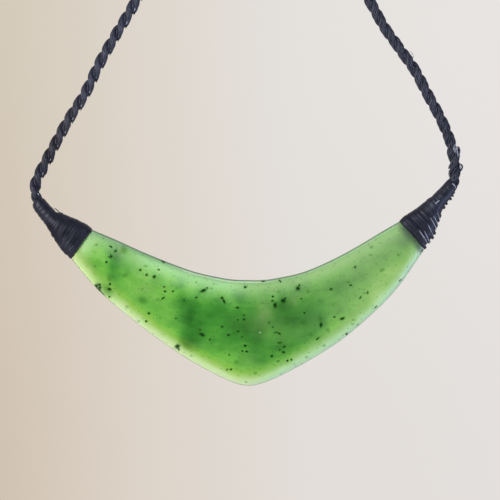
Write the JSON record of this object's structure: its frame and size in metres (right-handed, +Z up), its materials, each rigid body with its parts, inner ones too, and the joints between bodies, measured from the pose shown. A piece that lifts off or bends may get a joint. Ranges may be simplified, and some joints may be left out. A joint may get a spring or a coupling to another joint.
{
  "type": "jade necklace",
  "caption": "Curved jade breastplate pendant with thread-lashed ends, hanging on a twisted cord loop that closes with a plain barrel clasp.",
  "frame": {"origin": "the underside of the clasp at the top of the loop, where the hanging necklace is held up", "axes": "+Z up, +X along the pendant to the right as seen from the front, front faces -Y"},
  "size_m": [0.1292, 0.0064, 0.2025],
  "materials": {
    "jade": "translucent green nephrite, satin polish, dark mineral specks",
    "waxed_thread": "black waxed thread, wound side by side, dull wax sheen",
    "waxed_cord": "black waxed thread twisted into plies, dull wax sheen",
    "dark_steel": "blackened steel, satin"
  },
  "bodies": {
    "root": {"jade_pendant": "jade", "lashing_left": "waxed_thread", "lashing_right": "waxed_thread", "cord_left_ply_a": "waxed_cord", "cord_left_ply_b": "waxed_cord", "cord_right_ply_a": "waxed_cord", "cord_right_ply_b": "waxed_cord", "neck_clasp": "dark_steel"}
  },
  "joints": []
}
